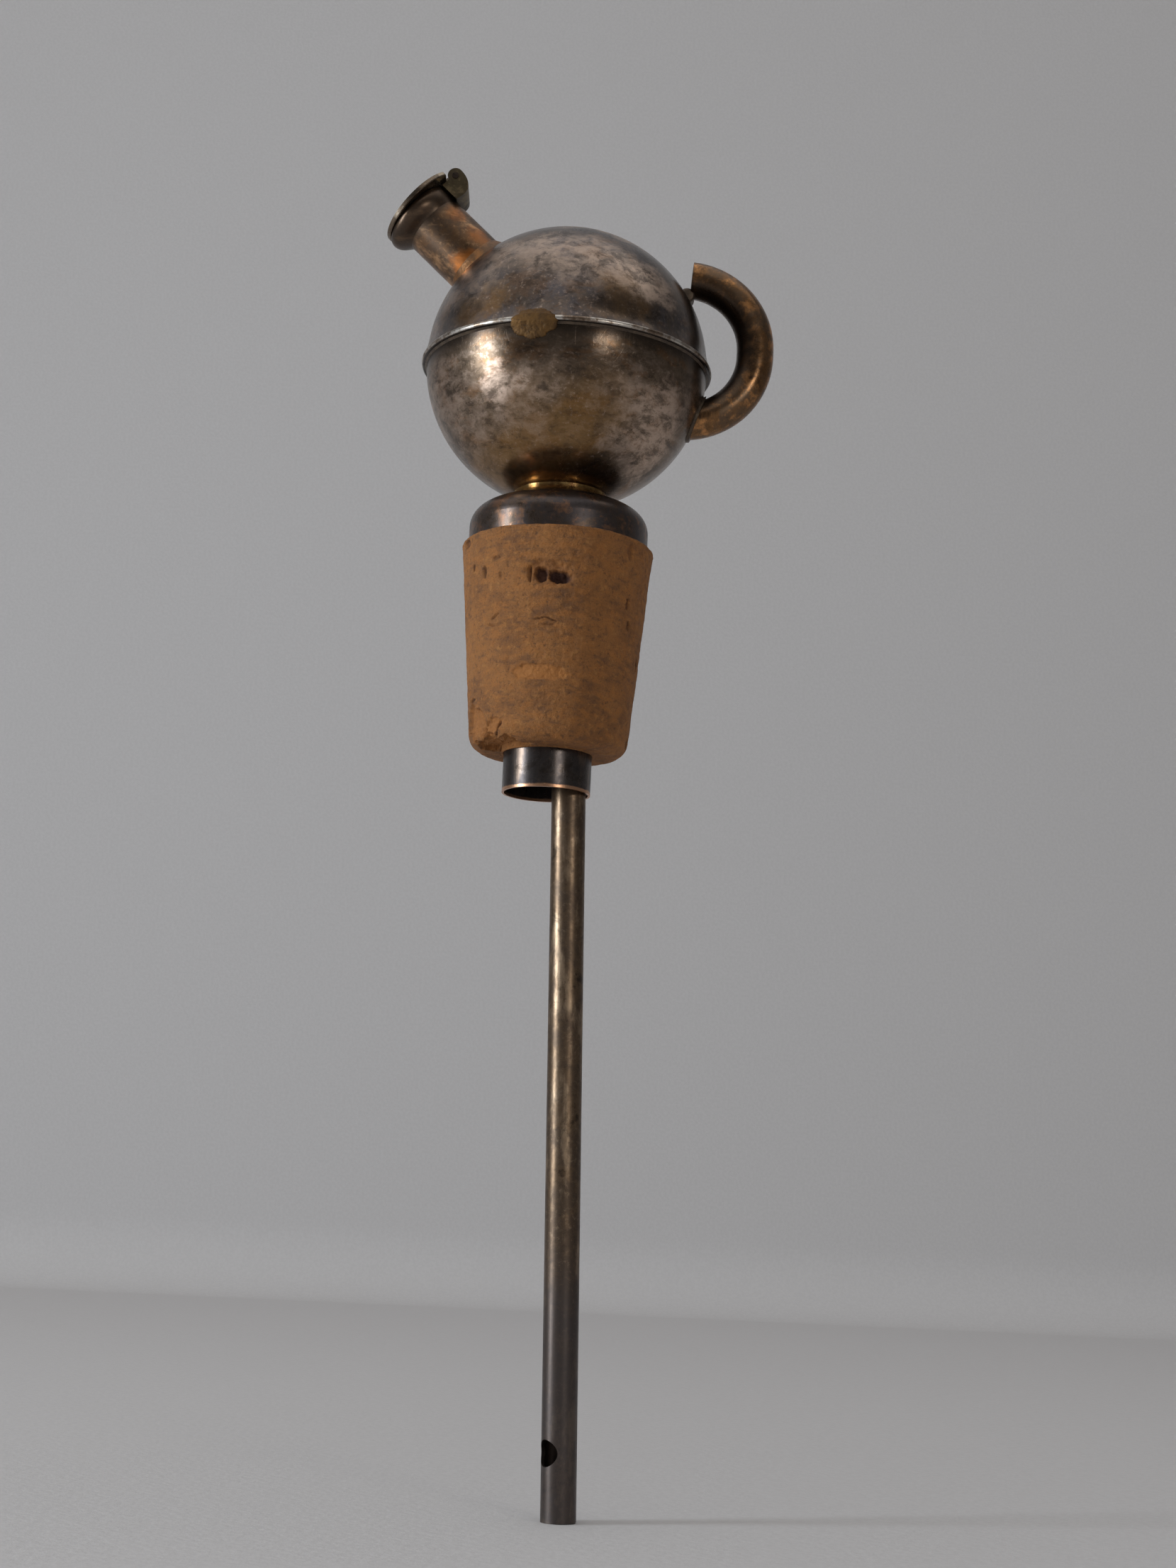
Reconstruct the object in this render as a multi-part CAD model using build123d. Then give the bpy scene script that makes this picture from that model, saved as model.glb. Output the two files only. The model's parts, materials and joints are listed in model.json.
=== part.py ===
from build123d import *
import math
import os

# A ball-shaped bottle pourer on a tapered cork: a chamber of two bowls, a short spout with
# a gravity lid, a hollow handle that lets air in, and a long vent tube that carries it down.
# Millimetres. +Z runs up the stopper's axis, the spout points to -X and the handle to +X.
# The origin is on the axis, in the plane where the collar sits on the cork.

# Driving dimensions
cork_top_r = 12.05
cork_low_r = 9.75
cork_length = 26.3
cork_round = 2.2
cork_top_round = 0.5
seam_z = 23.54
ball_z = 23.85
ball_r = 17.8
sheet = 0.5
belt_r = 18.42
belt_height = 0.75
belt_solder_turn = 257.0
collar_r = 11.2
collar_height = 5.55
sleeve_r = 5.45
sleeve_wall = 0.28
sleeve_low_z = -31.15
sleeve_top_z = 8.2
vent_r = 2.1
vent_wall = 0.35
vent_low_z = -116.9
vent_low_x = 5.58
vent_lean = 1.85
vent_top_z = 9.0
vent_hole_r = 1.55
vent_hole_height = 7.8
vent_hole_turn = 217.5
spout_r = 4.05
spout_wall = 0.3
spout_angle = 43.0
spout_offset = 1.7
spout_inner_end = 14.5
spout_mouth = 28.6
lip_start = 26.0
lip_reach = 5.55
lip_back = 4.15
lid_r = 5.75
lid_crown = 0.75
lid_dome_r = 75.0
lid_shift = -0.4
lid_gap = 0.08
lid_back = 4.75
pin_r = 0.42
pin_play = 0.05
knuckle_r = 1.0
hinge_x = -5.9
hinge_z = 28.15
hinge_width = 5.4
tongue_width = 2.0
hinge_play = 0.12
handle_r = 2.35
handle_wall = 0.23
handle_x = 14.85
handle_bend_r = 9.05
handle_low_z = 26.75
handle_high_z = 27.65
handle_end_angle = 86.0
tip_bead_r = 1.0
tip_bead_length = 2.6
tip_bead_x = 14.9
tip_bead_z = 34.3
neck_top_r = 6.5
neck_waist_r = 6.15
neck_foot_r = 7.0
neck_top_z = 8.2
neck_waist_z = 6.2
elbow_bend_r = 6.5
coupling_length = 1.4
coupling_wall = 0.4

os.makedirs("parts", exist_ok=True)


def save(node, shape):
    export_step(shape, "parts/" + node + ".step")


def turned(outline):
    """A solid turned about the stopper's axis from an outline drawn in the XZ plane."""
    return revolve(Plane.XZ * make_face(outline), Axis.Z, 360)


def ball(radius):
    return Pos(0, 0, ball_z) * Sphere(radius)


def tube(radius, wall, length):
    """An open tube that stands on the XY plane."""
    base = (Align.CENTER, Align.CENTER, Align.MIN)
    return Cylinder(radius, length, align=base) - Cylinder(radius - wall, length, align=base)


def rod(radius, length):
    return Cylinder(radius, length, align=(Align.CENTER, Align.CENTER, Align.MIN))


# The spout's own frame: z runs out along the spout, x points down to its pouring side.
spout_tilt = math.radians(spout_angle)
spout_out = Vector(-math.cos(spout_tilt), 0, math.sin(spout_tilt))
spout_down = Vector(-math.sin(spout_tilt), 0, -math.cos(spout_tilt))
spout_start = Vector(0, 0, seam_z) - spout_down * spout_offset
spout_frame = Plane(origin=spout_start, x_dir=spout_down, z_dir=spout_out)

# The vent tube's own frame: its lower end, with z up along the leaning tube.
lean = math.radians(vent_lean)
vent_up = Vector(-math.sin(lean), 0, math.cos(lean))
vent_frame = Plane(
    origin=(vent_low_x, 0, vent_low_z), x_dir=(math.cos(lean), 0, math.sin(lean)), z_dir=vent_up
)
vent_length = (vent_top_z - vent_low_z) / math.cos(lean)
vent_top = vent_frame.origin + vent_up * vent_length


# ---- Bowls and belt ----

belt_low_z = seam_z - belt_height / 2
belt_high_z = seam_z + belt_height / 2
belt_round = 0.22
inner_r = ball_r - sheet
seam_slip = 0.02
flare_turn = 7.0
flare_angle = math.radians(flare_turn)
flare_r = ball_r * math.cos(flare_angle)
flare_z = ball_z + ball_r * math.sin(flare_angle)


def make_upper_bowl():
    """The top bowl, with a rim that flares into a flat flange and steps over the lower bowl."""
    dome = CenterArc((0, ball_z), ball_r, flare_turn, 90 - flare_turn)
    flare = TangentArc(
        (flare_r, flare_z),
        (belt_r - belt_round, belt_high_z),
        tangent=(math.sin(flare_angle), -math.cos(flare_angle)),
    )
    edge = ThreePointArc(
        (belt_r - belt_round, belt_high_z), (belt_r, seam_z), (belt_r - belt_round, belt_low_z)
    )
    step = Polyline(
        (belt_r - belt_round, belt_low_z),
        (ball_r + seam_slip, belt_low_z),
        (ball_r + seam_slip, seam_z),
        (inner_r, seam_z),
        (inner_r, ball_z),
    )
    inside = CenterArc((0, ball_z), inner_r, 0, 90)
    crown = Line((0, ball_z + inner_r), (0, ball_z + ball_r))
    bowl = turned([dome, flare, edge, step, inside, crown])
    return bowl - spout_frame * rod(spout_r, 30)


def make_lower_bowl():
    """The bottom bowl: its plain rim stands inside the belt, and its floor is open to the sleeve."""
    below = Pos(0, 0, seam_z) * Box(
        4 * ball_r, 4 * ball_r, 2 * ball_r, align=(Align.CENTER, Align.CENTER, Align.MAX)
    )
    shell = (ball(ball_r) - ball(inner_r)) & below
    return shell - rod(sleeve_r, 12) - handle_solid(handle_r)


def make_seam_solder():
    """A thin line of solder under the belt, where the lower bowl's rim goes in."""
    width = 0.2
    depth = 0.45
    outline = Polyline(
        (ball_r - width, belt_low_z),
        (ball_r + width, belt_low_z),
        (ball_r - width, belt_low_z - depth),
        close=True,
    )
    return turned(outline) - ball(ball_r)


def make_belt_solder():
    """A lump of old solder over one place on the belt."""
    half_turn = 9.2
    outline = Polyline(
        (ball_r - 0.6, seam_z + 1.9),
        (ball_r + 0.25, seam_z + 1.5),
        (belt_r + 0.12, seam_z + 0.5),
        (belt_r + 0.12, seam_z - 0.6),
        (ball_r + 0.3, seam_z - 2.5),
        (ball_r - 1.2, seam_z - 2.7),
        close=True,
    )
    lump = revolve(Plane.XZ * make_face(outline), Axis.Z, 2 * half_turn)
    lump = Rot(0, 0, belt_solder_turn - half_turn) * lump
    lump = lump - ball(ball_r) - make_upper_bowl() - make_seam_solder()
    return lump.solids().sort_by(SortBy.VOLUME)[-1]


# ---- Spout, lid and hinge ----


def stacked(rings):
    """A smooth solid through circles stacked along z, each given as (z, sideways shift, radius)."""
    return loft([Pos(shift, 0, z) * Circle(radius) for z, shift, radius in rings])


lip_shift = (lip_reach - lip_back) / 2
lip_r = (lip_reach + lip_back) / 2
bore_r = spout_r - spout_wall


def lip_outside():
    """The pouring lip's outer form: it leans out on the spout's lower side only."""
    rise = spout_mouth - lip_start
    return stacked(
        [
            (lip_start, 0, spout_r),
            (lip_start + 0.25 * rise, 0.45 * lip_shift, spout_r + 0.45 * (lip_r - spout_r)),
            (lip_start + 0.55 * rise, 0.93 * lip_shift, spout_r + 0.93 * (lip_r - spout_r)),
            (lip_start + 0.8 * rise, lip_shift, lip_r),
            (spout_mouth, 0.85 * lip_shift, lip_r - 0.25),
        ]
    )


def make_spout():
    """A straight tube from inside the ball to the mouth, with a lip leaning out to pour over."""
    stem = Pos(0, 0, spout_inner_end) * rod(spout_r, lip_start - spout_inner_end)
    throat = Pos(0, 0, spout_inner_end - 1) * rod(bore_r, spout_mouth - spout_inner_end + 2)
    mouth = stacked([(lip_start + 1, 0, bore_r), (spout_mouth + 0.1, 0.7 * lip_shift, bore_r + 0.6)])
    return spout_frame * (stem + lip_outside() - throat - mouth)


def make_spout_solder():
    """A cone of solder round the spout's foot, cut to the ball and the tube."""
    foot = Cone(spout_r + 1.1, spout_r, 2.2, align=(Align.CENTER, Align.CENTER, Align.MIN))
    ring = spout_frame * (Pos(0, 0, 16.4) * foot)
    return ring - spout_frame * rod(spout_r, 40) - ball(ball_r)


def across(sketch, width):
    """Extrudes a flat shape, drawn in the spout frame's XZ plane, to both sides of that plane."""
    return extrude(Plane.XZ * sketch, width / 2, both=True)


def make_lid():
    """A slightly domed disc, cut straight at the hinge, with a tongue that curls round the pin."""
    low = spout_mouth + lid_gap
    disc = Pos(lid_shift, 0, low) * rod(lid_r, 2)
    disc = disc & Pos(lid_shift, 0, low + lid_crown - lid_dome_r) * Sphere(lid_dome_r)
    rim = disc.edges().filter_by(GeomType.CIRCLE).sort_by(Axis.Z)[0]
    disc = chamfer(rim, 0.1)
    beyond = Box(4, 3 * lid_r, 4, align=(Align.MAX, Align.CENTER, Align.CENTER))
    disc = disc - Pos(-lid_back, 0, low) * beyond
    strap = Polyline(
        (-lid_back + 0.4, low + 0.05),
        (hinge_x + 0.7, low - 0.1),
        (hinge_x, hinge_z + 0.2),
        (hinge_x, hinge_z + knuckle_r),
        (hinge_x + 0.7, hinge_z + knuckle_r + 0.1),
        (-lid_back + 0.4, low + 0.55),
        close=True,
    )
    bar = Pos(hinge_x, hinge_z) * Circle(knuckle_r)
    hole = Pos(hinge_x, hinge_z) * Circle(pin_r + pin_play)
    tongue = across(make_face(strap) + bar - hole, tongue_width)
    return spout_frame * (disc + tongue)


def make_hinge_bracket():
    """A leaf bent out from the spout's back and up round the pin, slotted for the lid's tongue."""
    top = spout_mouth - 0.25
    leaf = Spline(
        (-spout_r + 0.3, lip_start - 0.25),
        (hinge_x + 1.1, lip_start - 0.42),
        (hinge_x + 0.2, lip_start - 0.28),
        (hinge_x - 0.5, lip_start + 0.35),
        (hinge_x - 0.88, lip_start + 1.2),
        (hinge_x - knuckle_r, hinge_z),
    )
    back = Polyline(
        (hinge_x - knuckle_r, hinge_z),
        (hinge_x, hinge_z),
        (hinge_x, top),
        (-spout_r + 0.3, top),
        (-spout_r + 0.3, lip_start - 0.25),
    )
    eye = Pos(hinge_x, hinge_z)
    side = make_face([leaf, back]) + eye * Circle(knuckle_r) - eye * Circle(pin_r)
    window_low = hinge_z - knuckle_r - hinge_play
    window = Pos(hinge_x + knuckle_r + hinge_play, 0, window_low) * Box(
        4, tongue_width + 2 * hinge_play, 4, align=(Align.MAX, Align.CENTER, Align.MIN)
    )
    body = across(side, hinge_width) - window - rod(spout_r, 40) - lip_outside()
    return spout_frame * body


def make_hinge_pin():
    return spout_frame * across(Pos(hinge_x, hinge_z) * Circle(pin_r), hinge_width + 0.2)


# ---- Handle ----

socket_length = 2.0


def handle_path():
    low = CenterArc((handle_x, handle_low_z), handle_bend_r, -90.0, 90.0)
    side = Line(
        (handle_x + handle_bend_r, handle_low_z), (handle_x + handle_bend_r, handle_high_z)
    )
    high = CenterArc((handle_x, handle_high_z), handle_bend_r, 0, handle_end_angle)
    root_z = handle_low_z - handle_bend_r
    start = Line((handle_x - socket_length, root_z), (handle_x, root_z))
    return Plane.XZ * Wire([start, low, side, high])


def handle_solid(radius):
    path = handle_path()
    section = Plane(origin=path @ 0, z_dir=path % 0) * Circle(radius)
    return sweep(section, path=path)


def make_handle():
    return handle_solid(handle_r) - handle_solid(handle_r - handle_wall)


def make_handle_root_solder():
    """A bead of solder round the handle where it enters the lower bowl."""
    bead = 0.3
    both = handle_solid(handle_r + bead) & ball(ball_r + bead)
    return both - handle_solid(handle_r) - ball(ball_r)


def make_handle_tip_solder():
    """A bridge of solder between the handle's open end and the upper bowl."""
    bead = Cylinder(tip_bead_r, tip_bead_length, rotation=(90, 0, 0))
    bead = fillet(bead.edges().filter_by(GeomType.CIRCLE), tip_bead_r / 2)
    slip = 0.01
    return Pos(tip_bead_x, 0, tip_bead_z) * bead - handle_solid(handle_r) - ball(ball_r + slip)


# ---- Collar, neck, sleeve and cork ----


def make_collar():
    """A domed cap of sheet metal that sits on the cork, round the sleeve."""
    crown_r = 5.2
    turn = math.radians(35.0)
    crown_x = 7.0
    crown_z = collar_height - crown_r
    knee_x = crown_x + crown_r * math.sin(turn)
    knee_z = crown_z + crown_r * math.cos(turn)
    shoulder_r = (collar_r - knee_x) / (1 - math.sin(turn))
    shoulder_x = collar_r - shoulder_r
    shoulder_z = knee_z - shoulder_r * math.cos(turn)

    def shell(depth):
        side = collar_r - depth
        top = collar_height - depth
        return turned(
            [
                Polyline((sleeve_r, top), (sleeve_r, 0), (side, 0), (side, shoulder_z)),
                CenterArc((shoulder_x, shoulder_z), shoulder_r - depth, 0, 55.0),
                CenterArc((crown_x, crown_z), crown_r - depth, 55.0, 35.0),
                Line((crown_x, top), (sleeve_r, top)),
            ]
        )

    return shell(0) - shell(sheet)


def make_neck():
    """A waisted ring between the collar and the ball, round the sleeve."""
    top = (neck_top_r, neck_top_z)
    foot = (neck_foot_r, collar_height)
    outline = [
        Polyline(top, (sleeve_r, neck_top_z), (sleeve_r, collar_height), foot),
        ThreePointArc(foot, (neck_waist_r, neck_waist_z), top),
    ]
    return turned(outline) - ball(ball_r)


def make_sleeve():
    return Pos(0, 0, sleeve_low_z) * tube(sleeve_r, sleeve_wall, sleeve_top_z - sleeve_low_z)


def make_cork():
    """A tapered cork with a rounded foot, bored for the sleeve."""
    outline = Polyline(
        (sleeve_r, 0), (cork_top_r, 0), (cork_low_r, -cork_length), (sleeve_r, -cork_length), close=True
    )
    cork = turned(outline)
    rims = cork.edges().filter_by(GeomType.CIRCLE).sort_by(SortBy.RADIUS)
    cork = fillet(rims[-1], cork_top_round)
    low_rims = cork.edges().filter_by(GeomType.CIRCLE).filter_by(
        lambda rim: rim.center().Z < -cork_length + 0.1
    )
    return fillet(low_rims.sort_by(SortBy.RADIUS)[-1], cork_round)


# ---- Vent tube ----


def make_vent_tube():
    """The long straight tube, with one side hole near its open lower end."""
    body = tube(vent_r, vent_wall, vent_length)
    turn = Rot(0, 0, vent_hole_turn) * Rot(0, 90, 0)
    drill = Pos(0, 0, vent_hole_height) * turn * rod(vent_hole_r, 2 * vent_r)
    return vent_frame * (body - drill)


def vent_elbow_path():
    """From the vent tube's top, round a bend, and level into the handle's root."""
    corner = vent_top + vent_up * ((handle_low_z - handle_bend_r - vent_top.Z) / math.cos(lean))
    end = Vector(handle_x - 0.3, 0, handle_low_z - handle_bend_r)
    return FilletPolyline(vent_top, corner, end, radius=elbow_bend_r)


def make_vent_elbow():
    path = vent_elbow_path()
    section = Plane(origin=path @ 0, z_dir=path % 0)
    outer = sweep(section * Circle(vent_r), path=path)
    inner = sweep(section * Circle(vent_r - vent_wall), path=path)
    return outer - inner


def make_elbow_solder():
    """A cone of solder that closes the joint between the elbow and the handle's root."""
    root = (handle_x - socket_length, 0, handle_low_z - handle_bend_r)
    frame = Plane(origin=root, x_dir=(0, 1, 0), z_dir=(-1, 0, 0))
    ring = Cone(handle_r, vent_r + 0.1, 0.9, align=(Align.CENTER, Align.CENTER, Align.MIN))
    return frame * (ring - rod(vent_r, 2))


def make_vent_coupling():
    """A short collar that joins the straight tube to the elbow, end to end."""
    low = vent_top - vent_up * (coupling_length / 2)
    frame = Plane(origin=low, x_dir=(0, 1, 0), z_dir=vent_up)
    return frame * tube(vent_r + coupling_wall, coupling_wall, coupling_length)


def make_vent_solder():
    """A spot of solder that holds the vent tube to the sleeve's wall at the sleeve's lower end."""
    low = sleeve_low_z + 0.15
    bead = Pos(sleeve_r - sleeve_wall, 0, low + 1.3) * scale(Sphere(1.0), by=(1.0, 2.0, 1.3))
    inside = Pos(0, 0, low - 1) * rod(sleeve_r - sleeve_wall, 6)
    return (bead & inside) - vent_frame * rod(vent_r, vent_length)


save("upper_bowl", make_upper_bowl())
save("lower_bowl", make_lower_bowl())
save("seam_solder", make_seam_solder())
save("belt_solder", make_belt_solder())
save("spout_tube", make_spout())
save("spout_solder", make_spout_solder())
save("lid", make_lid())
save("hinge_bracket", make_hinge_bracket())
save("hinge_pin", make_hinge_pin())
save("handle_tube", make_handle())
save("handle_root_solder", make_handle_root_solder())
save("handle_tip_solder", make_handle_tip_solder())
save("collar", make_collar())
save("neck_ring", make_neck())
save("sleeve_tube", make_sleeve())
save("cork", make_cork())
save("vent_tube", make_vent_tube())
save("vent_elbow", make_vent_elbow())
save("elbow_solder", make_elbow_solder())
save("vent_coupling", make_vent_coupling())
save("vent_solder", make_vent_solder())
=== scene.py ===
import json
import math
import bpy
import numpy as np
from mathutils import Matrix, Vector, noise


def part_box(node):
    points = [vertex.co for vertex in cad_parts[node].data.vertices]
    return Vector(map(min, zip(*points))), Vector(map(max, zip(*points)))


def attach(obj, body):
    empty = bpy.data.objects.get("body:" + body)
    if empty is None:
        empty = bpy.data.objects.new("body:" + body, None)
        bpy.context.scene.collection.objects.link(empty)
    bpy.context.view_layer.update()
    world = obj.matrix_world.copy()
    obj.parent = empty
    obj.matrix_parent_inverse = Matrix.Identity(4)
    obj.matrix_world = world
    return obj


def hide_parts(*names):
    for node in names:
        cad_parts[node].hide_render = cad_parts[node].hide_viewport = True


# A tarnished plated bottle pourer on a worn cork, on a pale sweep of paper.

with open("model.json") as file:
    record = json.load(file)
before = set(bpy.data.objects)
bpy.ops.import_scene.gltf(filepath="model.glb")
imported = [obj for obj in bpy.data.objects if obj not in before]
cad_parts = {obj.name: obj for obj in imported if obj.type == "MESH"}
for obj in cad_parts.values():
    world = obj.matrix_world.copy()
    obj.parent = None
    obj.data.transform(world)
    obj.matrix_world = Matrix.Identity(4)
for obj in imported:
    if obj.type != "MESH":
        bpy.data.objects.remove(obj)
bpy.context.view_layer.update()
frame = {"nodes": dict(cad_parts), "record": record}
NODES = frame["nodes"]
SCENE = bpy.context.scene
MM = 0.001
QUARTER = math.pi / 2


# ---------------------------------------------------------------- colours and node trees

def tone(r, g, b):
    """A colour given as 0-255 screen values."""
    def linear(v):
        v = v / 255
        return v / 12.92 if v <= 0.04045 else ((v + 0.055) / 1.055) ** 2.4
    return (linear(r), linear(g), linear(b), 1.0)


class Paint:
    """One material and the nodes that make its surface."""

    def __init__(self, name):
        self.mat = bpy.data.materials.new(name)
        self.mat.use_nodes = True
        self.tree = self.mat.node_tree
        self.tree.nodes.clear()
        out = self.add("ShaderNodeOutputMaterial")
        self.surface = self.add("ShaderNodeBsdfPrincipled")
        self.tree.links.new(self.surface.outputs["BSDF"], out.inputs["Surface"])
        self.place = self.add("ShaderNodeTexCoord").outputs["Object"]

    def add(self, kind, **settings):
        node = self.tree.nodes.new(kind)
        for name, value in settings.items():
            setattr(node, name, value)
        return node

    def put(self, socket, value):
        """Links a socket to another node's output, or gives it a constant."""
        if isinstance(value, bpy.types.NodeSocket):
            self.tree.links.new(value, socket)
        else:
            socket.default_value = value

    def noise(self, scale, detail=4.0, rough=0.55, distort=0.0, at=None):
        """Noise with features of 1 / scale metres."""
        n = self.add("ShaderNodeTexNoise")
        self.put(n.inputs["Vector"], self.place if at is None else at)
        n.inputs["Scale"].default_value = scale
        n.inputs["Detail"].default_value = detail
        n.inputs["Roughness"].default_value = rough
        n.inputs["Distortion"].default_value = distort
        return n.outputs["Fac"]

    def cells(self, scale, at=None):
        """Distance to the nearest of many scattered points, in cells of 1 / scale metres."""
        n = self.add("ShaderNodeTexVoronoi")
        self.put(n.inputs["Vector"], self.place if at is None else at)
        n.inputs["Scale"].default_value = scale
        return n.outputs["Distance"]

    def moved(self, scale=(1, 1, 1), turn=(0, 0, 0), shift=(0, 0, 0)):
        """The object's coordinates scaled, then turned, then shifted."""
        n = self.add("ShaderNodeMapping")
        self.put(n.inputs["Vector"], self.place)
        n.inputs["Scale"].default_value = scale
        n.inputs["Rotation"].default_value = turn
        n.inputs["Location"].default_value = shift
        return n.outputs["Vector"]

    def calc(self, kind, a, b):
        """One sum of two values."""
        n = self.add("ShaderNodeMath", operation=kind)
        self.put(n.inputs[0], a)
        self.put(n.inputs[1], b)
        return n.outputs[0]

    def span(self, value, low, high, to_low=0.0, to_high=1.0, smooth=True):
        """A value carried from one range to another and held at its ends."""
        n = self.add("ShaderNodeMapRange")
        n.interpolation_type = "SMOOTHSTEP" if smooth else "LINEAR"
        self.put(n.inputs["Value"], value)
        n.inputs["From Min"].default_value = low
        n.inputs["From Max"].default_value = high
        n.inputs["To Min"].default_value = to_low
        n.inputs["To Max"].default_value = to_high
        return n.outputs["Result"]

    def mix(self, share, a, b):
        """Colour a with a share of colour b over it."""
        n = self.add("ShaderNodeMix", data_type="RGBA")
        self.put(n.inputs[0], share)
        self.put(n.inputs[6], a)
        self.put(n.inputs[7], b)
        return n.outputs[2]

    def ragged(self, size, scale):
        """The object's coordinates pushed about by noise, for ragged patch edges."""
        n = self.add("ShaderNodeTexNoise")
        self.put(n.inputs["Vector"], self.place)
        n.inputs["Scale"].default_value = scale
        n.inputs["Detail"].default_value = 5.0
        n.inputs["Roughness"].default_value = 0.65
        shifted = self.add("ShaderNodeVectorMath", operation="MULTIPLY_ADD")
        self.put(shifted.inputs[0], n.outputs["Color"])
        shifted.inputs[1].default_value = (size, size, size)
        shifted.inputs[2].default_value = (-size / 2, -size / 2, -size / 2)
        added = self.add("ShaderNodeVectorMath", operation="ADD")
        self.put(added.inputs[0], self.place)
        self.put(added.inputs[1], shifted.outputs[0])
        return added.outputs[0]

    def spots(self, points, at):
        """Each patch's strength inside it and 0 outside: a patch is (point, reach, strength)."""
        total = None
        for point, reach, strength in points:
            near = self.add("ShaderNodeVectorMath", operation="DISTANCE")
            self.put(near.inputs[0], at)
            near.inputs[1].default_value = point
            one = self.span(near.outputs["Value"], reach * 0.35, reach, strength, 0.0)
            total = one if total is None else self.calc("MAXIMUM", total, one)
        return total

    def height(self):
        """Each point's height above the origin."""
        n = self.add("ShaderNodeSeparateXYZ")
        self.put(n.inputs[0], self.place)
        return n.outputs["Z"]

    def length(self, vector):
        """How long a vector is."""
        n = self.add("ShaderNodeVectorMath", operation="LENGTH")
        self.put(n.inputs[0], vector)
        return n.outputs["Value"]

    def along(self, way):
        """How far each point lies along a direction from the object's origin."""
        n = self.add("ShaderNodeVectorMath", operation="DOT_PRODUCT")
        self.put(n.inputs[0], self.place)
        n.inputs[1].default_value = way
        return n.outputs["Value"]

    def wavy(self, distance, by, size):
        """A distance pushed up to size either way by a noise, so that an edge set by it wavers."""
        return self.calc("ADD", distance, self.span(by, 0.3, 0.7, -size, size, False))

    def bump(self, height, depth, under=None):
        """A normal tilted by a height map that is depth metres deep, over another normal if given."""
        n = self.add("ShaderNodeBump")
        self.put(n.inputs["Height"], height)
        n.inputs["Distance"].default_value = depth
        n.inputs["Strength"].default_value = 1.0
        if under is not None:
            self.put(n.inputs["Normal"], under)
        return n.outputs["Normal"]

    def finish(self, colour, metal, rough, normal):
        self.put(self.surface.inputs["Base Color"], colour)
        self.put(self.surface.inputs["Metallic"], metal)
        self.put(self.surface.inputs["Roughness"], rough)
        self.put(self.surface.inputs["Normal"], normal)
        return self.mat


def wear_normal(p, depth=1.0, dents=0.12 * MM):
    """Handling dents, a fine grain and two sets of hairline scratches."""
    broad = p.noise(90, 2.0, 0.5)
    grain = p.noise(3600, 3.0, 0.6)
    hair_a = p.noise(330, 1.0, 0.5, at=p.moved((1, 36, 1), (0.3, 0.5, 0.7)))
    hair_b = p.noise(290, 1.0, 0.5, at=p.moved((34, 1, 1), (0.2, -0.6, 0.4)))
    scratches = p.calc("ADD", p.span(hair_a, 0.64, 0.72), p.span(hair_b, 0.65, 0.72))
    n = p.bump(broad, dents * depth)
    n = p.bump(grain, 0.003 * MM * depth, under=n)
    return p.bump(scratches, -0.0018 * MM * depth, under=n)


TAN = tone(206, 182, 164)
GOLD = tone(150, 112, 62)
# A dark grey-brown for tarnish and pits, also used as painted shade under the belt and inside the handle's
# bend.
SOOT_AND_SHADE = tone(56, 48, 42)
ORANGE = tone(206, 122, 52)
SILVER = tone(196, 190, 182)

# how metallic the tarnished plate is
PLATE = 0.93


# ---------------------------------------------------------------- places taken from the part

upper_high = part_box("upper_bowl")[1]
lower_low, lower_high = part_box("lower_bowl")
BALL_R = (lower_high.x - lower_low.x) / 2
BALL_C = Vector((0, 0, upper_high.z - BALL_R))
SEAM_Z = lower_high.z


def facing(azimuth, rise):
    """A direction: azimuth 0 faces -Y and 90 faces +X, rise is above the level, all in degrees."""
    a, e = math.radians(azimuth), math.radians(rise)
    return Vector((math.sin(a) * math.cos(e), -math.cos(a) * math.cos(e), math.sin(e)))


def patches(rows):
    """Patches on the ball's surface, from rows of azimuth, rise, reach in mm and strength."""
    return [(BALL_C + facing(a, e) * BALL_R, reach * MM, strength) for a, e, reach, strength in rows]


# ---------------------------------------------------------------- worn metal

def speckle(p, colour, light, share=0.3, dark_share=0.45):
    """Fine specks of light and dark all over a tarnished surface."""
    specks = p.noise(1700, 6.0, 0.75)
    colour = p.mix(p.span(specks, 0.54, 0.68, 0.0, share), colour, light)
    return p.mix(p.span(specks, 0.46, 0.32, 0.0, dark_share), colour, SOOT_AND_SHADE)


def rubbed_belt(p, colour, rough):
    """The belt's edge rubbed bright and dull by turns, with painted shade along its underside."""
    edge = p.span(p.length(p.moved((1, 1, 0))), BALL_R + 0.44 * MM, BALL_R + 0.56 * MM)
    wear = p.noise(330, 8.0, 0.75)
    rubbed = p.mix(p.span(wear, 0.44, 0.58), tone(128, 112, 98), SILVER)
    rubbed = p.mix(p.span(wear, 0.46, 0.36, 0.0, 0.8), rubbed, tone(84, 68, 54))
    colour = p.mix(edge, colour, rubbed)
    # painted shade: the belt's underside darkened
    underside = p.span(p.height(), SEAM_Z - 0.24 * MM, SEAM_Z - 0.34 * MM)
    colour = p.mix(underside, colour, SOOT_AND_SHADE)
    return colour, p.calc("ADD", rough, p.calc("MULTIPLY", edge, 0.05))


def paint_shade_under_belt(p, colour, mottle):
    """Painted shade under the belt: a dark zone with a ragged lower edge, at the top of the lower bowl."""
    height = p.wavy(p.height(), mottle, 0.7 * MM)
    share = p.span(height, SEAM_Z - 2.6 * MM, SEAM_Z - 0.5 * MM, 0.0, 0.9)
    return p.mix(share, colour, SOOT_AND_SHADE)


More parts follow.
